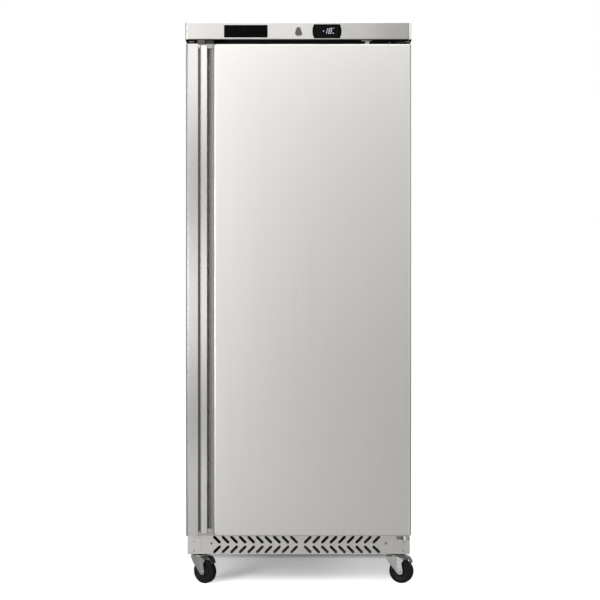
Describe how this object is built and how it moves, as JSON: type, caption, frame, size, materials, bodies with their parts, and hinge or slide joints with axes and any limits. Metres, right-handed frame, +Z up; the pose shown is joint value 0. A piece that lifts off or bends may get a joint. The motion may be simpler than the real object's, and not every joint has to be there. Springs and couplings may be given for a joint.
{
  "type": "upright freezer",
  "caption": "Upright stainless storage freezer on castors: hinged door with full-height finger grip, lockable fascia with display, slotted plinth, fixed evaporator shelves inside.",
  "frame": {"origin": "on the floor, under the middle of the cabinet", "axes": "+X to the right as seen from the front, -Y out of the front (the door), +Z up"},
  "size_m": [0.8094, 0.702, 1.945],
  "materials": {
    "stainless": "brushed stainless, fine grain",
    "galvanised": "galvanised sheet, dull",
    "white_plastic": "white moulded plastic",
    "grey_plastic": "light grey moulded plastic",
    "gasket_rubber": "light grey soft vinyl",
    "foam": "rigid foam",
    "black_gloss": "gloss black",
    "black_plastic": "matt black",
    "lock_chrome": "polished",
    "zinc_plated": "zinc-plated, satin",
    "black_steel": "black paint, semi-gloss",
    "wheel_rubber": "black, satin",
    "copper": "copper tube",
    "fin_aluminium": "mill finish",
    "coated_steel": "white plastic coating",
    "foot_rubber": "black rubber"
  },
  "bodies": {
    "cabinet": {"side_panel_right": "stainless", "side_panel_left": "stainless", "top_cover": "stainless", "front_frame": "stainless", "plinth_grille": "stainless", "corner_plate_left": "stainless", "hinge_bracket_bottom": "stainless", "back_panel": "galvanised", "rear_cover": "galvanised", "base_pan": "galvanised", "top_panel": "galvanised", "fan_shroud": "galvanised", "inner_liner": "white_plastic", "shelf_rails": "white_plastic", "temperature_probe": "white_plastic", "foam_insulation": "foam", "display_panel": "black_gloss", "badge_plate": "black_gloss", "controller_body": "black_plastic", "terminal_cover": "black_plastic", "gap_trim": "black_plastic", "cable_gland": "black_plastic", "drip_tray": "black_plastic", "lock_housing": "lock_chrome", "screws_and_bolts": "zinc_plated", "castor_plates": "black_steel", "hinge_bracket_top": "black_steel", "compressor": "black_steel", "fan_motor": "black_steel", "refrigerant_pipes": "copper", "filter_drier": "copper", "condenser_coil": "copper", "condenser_fins": "fin_aluminium", "evaporator_coil": "coated_steel", "shelf_wires": "coated_steel", "compressor_grommets": "foot_rubber"},
    "door": {"door_skin": "stainless", "door_grip": "stainless", "grip_caps": "grey_plastic", "door_foam": "foam", "door_liner": "white_plastic", "door_gasket": "gasket_rubber", "hinge_bushes": "white_plastic"},
    "lock": {"lock_plug": "lock_chrome", "lock_cam": "zinc_plated"},
    "fan": {"fan_rotor": "black_plastic"},
    "castor_front_left": {"castor_fork_front_left": "zinc_plated", "castor_axle_front_left": "zinc_plated"},
    "wheel_front_left": {"castor_wheel_front_left": "wheel_rubber"},
    "pedal_front_left": {"castor_pedal_front_left": "zinc_plated"},
    "castor_front_right": {"castor_fork_front_right": "zinc_plated", "castor_axle_front_right": "zinc_plated"},
    "wheel_front_right": {"castor_wheel_front_right": "wheel_rubber"},
    "pedal_front_right": {"castor_pedal_front_right": "zinc_plated"},
    "castor_rear_left": {"castor_fork_rear_left": "zinc_plated", "castor_axle_rear_left": "zinc_plated"},
    "wheel_rear_left": {"castor_wheel_rear_left": "wheel_rubber"},
    "castor_rear_right": {"castor_fork_rear_right": "zinc_plated", "castor_axle_rear_right": "zinc_plated"},
    "wheel_rear_right": {"castor_wheel_rear_right": "wheel_rubber"}
  },
  "joints": [
    {"name": "door_hinge", "type": "hinge", "parent": "cabinet", "child": "door", "pos_m": [0.368, -0.3195, 1.03], "axis": [0, 0, 1], "range_deg": [0, 115]},
    {"name": "lock_turn", "type": "hinge", "parent": "cabinet", "child": "lock", "pos_m": [0, -0.32, 1.9145], "axis": [0, -1, 0], "range_deg": [0, 90]},
    {"name": "fan_spin", "type": "hinge", "parent": "cabinet", "child": "fan", "pos_m": [-0.185, 0.144, 0.235], "axis": [0, 1, 0], "continuous": true},
    {"name": "castor_front_left_swivel", "type": "hinge", "parent": "cabinet", "child": "castor_front_left", "pos_m": [-0.3445, -0.213, 0.095], "axis": [0, 0, 1], "continuous": true},
    {"name": "wheel_front_left_roll", "type": "hinge", "parent": "castor_front_left", "child": "wheel_front_left", "pos_m": [-0.32875, -0.22362, 0.0425], "axis": [0.5592, 0.829, 0], "continuous": true},
    {"name": "brake_front_left_press", "type": "hinge", "parent": "castor_front_left", "child": "pedal_front_left", "pos_m": [-0.32253, -0.22782, 0.087], "axis": [0.5592, 0.829, 0], "range_deg": [0, 9]},
    {"name": "castor_front_right_swivel", "type": "hinge", "parent": "cabinet", "child": "castor_front_right", "pos_m": [0.3445, -0.213, 0.095], "axis": [0, 0, 1], "continuous": true},
    {"name": "wheel_front_right_roll", "type": "hinge", "parent": "castor_front_right", "child": "wheel_front_right", "pos_m": [0.36199, -0.22042, 0.0425], "axis": [0.3907, 0.9205, 0], "continuous": true},
    {"name": "brake_front_right_press", "type": "hinge", "parent": "castor_front_right", "child": "pedal_front_right", "pos_m": [0.36889, -0.22335, 0.087], "axis": [0.3907, 0.9205, 0], "range_deg": [0, 9]},
    {"name": "castor_rear_left_swivel", "type": "hinge", "parent": "cabinet", "child": "castor_rear_left", "pos_m": [-0.3445, 0.285, 0.095], "axis": [0, 0, 1], "continuous": true},
    {"name": "wheel_rear_left_roll", "type": "hinge", "parent": "castor_rear_left", "child": "wheel_rear_left", "pos_m": [-0.36199, 0.29242, 0.0425], "axis": [-0.3907, -0.9205, 0], "continuous": true},
    {"name": "castor_rear_right_swivel", "type": "hinge", "parent": "cabinet", "child": "castor_rear_right", "pos_m": [0.3445, 0.285, 0.095], "axis": [0, 0, 1], "continuous": true},
    {"name": "wheel_rear_right_roll", "type": "hinge", "parent": "castor_rear_right", "child": "wheel_rear_right", "pos_m": [0.32875, 0.29563, 0.0425], "axis": [-0.5592, -0.829, 0], "continuous": true}
  ]
}
